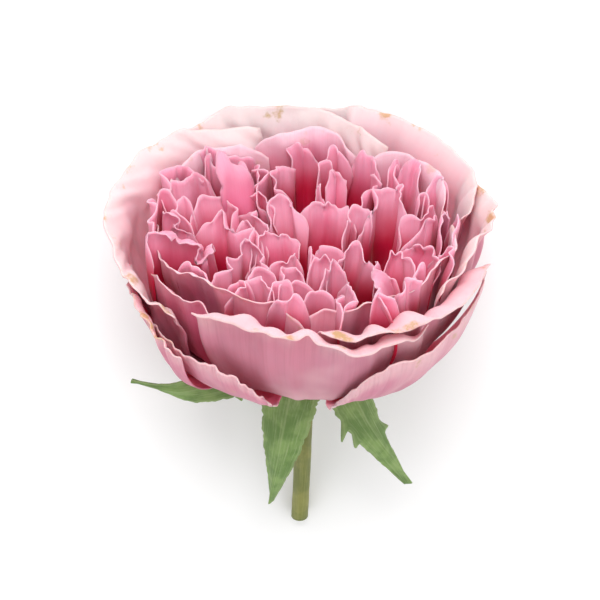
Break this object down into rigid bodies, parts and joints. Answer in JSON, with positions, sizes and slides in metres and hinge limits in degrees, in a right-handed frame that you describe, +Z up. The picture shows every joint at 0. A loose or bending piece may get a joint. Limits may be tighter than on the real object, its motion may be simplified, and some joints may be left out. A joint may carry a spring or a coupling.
{
  "type": "peony rose",
  "caption": "Cut garden rose of the full, peony-flowered kind: a deep pink cupped bloom with folded inner petals, lying on its side with sepals and a short stem.",
  "frame": {"origin": "middle of the lying flower's footprint, on the surface that it lies on", "axes": "+Z up; the bloom faces -Y and the stem runs towards +Y"},
  "size_m": [0.1018, 0.1206, 0.0856],
  "materials": {
    "guard_petal": "soft matt petal, pale cream-pink inside with tan bruised rims, mauve-pink outside",
    "rim_petal": "soft matt petal, pale rolled rim over deep pink",
    "inner_petal": "soft matt petal, pale rim, lilac-pink face, crimson towards the base",
    "sepal": "matt grey-green leaf with a pale edge",
    "hip": "satin green plant skin",
    "stem": "satin olive-green plant skin"
  },
  "bodies": {
    "root": {"hip": "hip", "stem": "stem", "sepal_front": "sepal", "sepal_right": "sepal", "sepal_left": "sepal", "sepal_back_right": "sepal", "sepal_back_left": "sepal", "guard_left": "guard_petal", "guard_back": "guard_petal", "guard_right_back": "guard_petal", "guard_right": "guard_petal", "guard_front_right": "guard_petal", "guard_low_right": "guard_petal", "guard_front": "guard_petal", "guard_low_left": "guard_petal", "guard_left_low": "guard_petal", "rim_left": "rim_petal", "rim_low_left": "rim_petal", "rim_right": "rim_petal", "rim_back_left": "rim_petal", "rim_back": "rim_petal", "rim_back_right": "rim_petal", "fold_back_1": "inner_petal", "fold_back_2": "inner_petal", "fold_back_3": "inner_petal", "fold_back_4": "inner_petal", "fold_back_5": "inner_petal", "fold_back_6": "inner_petal", "fold_back_7": "inner_petal", "fold_back_8": "inner_petal", "fold_back_9": "inner_petal", "fold_right_1": "inner_petal", "fold_right_2": "inner_petal", "fold_right_3": "inner_petal", "fold_right_4": "inner_petal", "fold_right_5": "inner_petal", "fold_right_6": "inner_petal", "fold_right_7": "inner_petal", "fold_right_8": "inner_petal", "fold_right_9": "inner_petal", "fold_heart_1": "inner_petal", "fold_heart_2": "inner_petal", "fold_heart_3": "inner_petal", "fold_heart_4": "inner_petal", "fold_left_1": "inner_petal", "fold_left_2": "inner_petal", "fold_left_3": "inner_petal", "fold_left_4": "inner_petal", "fold_left_5": "inner_petal", "fold_left_6": "inner_petal", "fold_front_1": "inner_petal", "fold_front_2": "inner_petal", "fold_front_3": "inner_petal", "fold_front_4": "inner_petal", "fold_front_5": "inner_petal", "fold_front_6": "inner_petal", "fold_front_7": "inner_petal", "fold_front_8": "inner_petal", "fold_front_9": "inner_petal"}
  },
  "joints": []
}
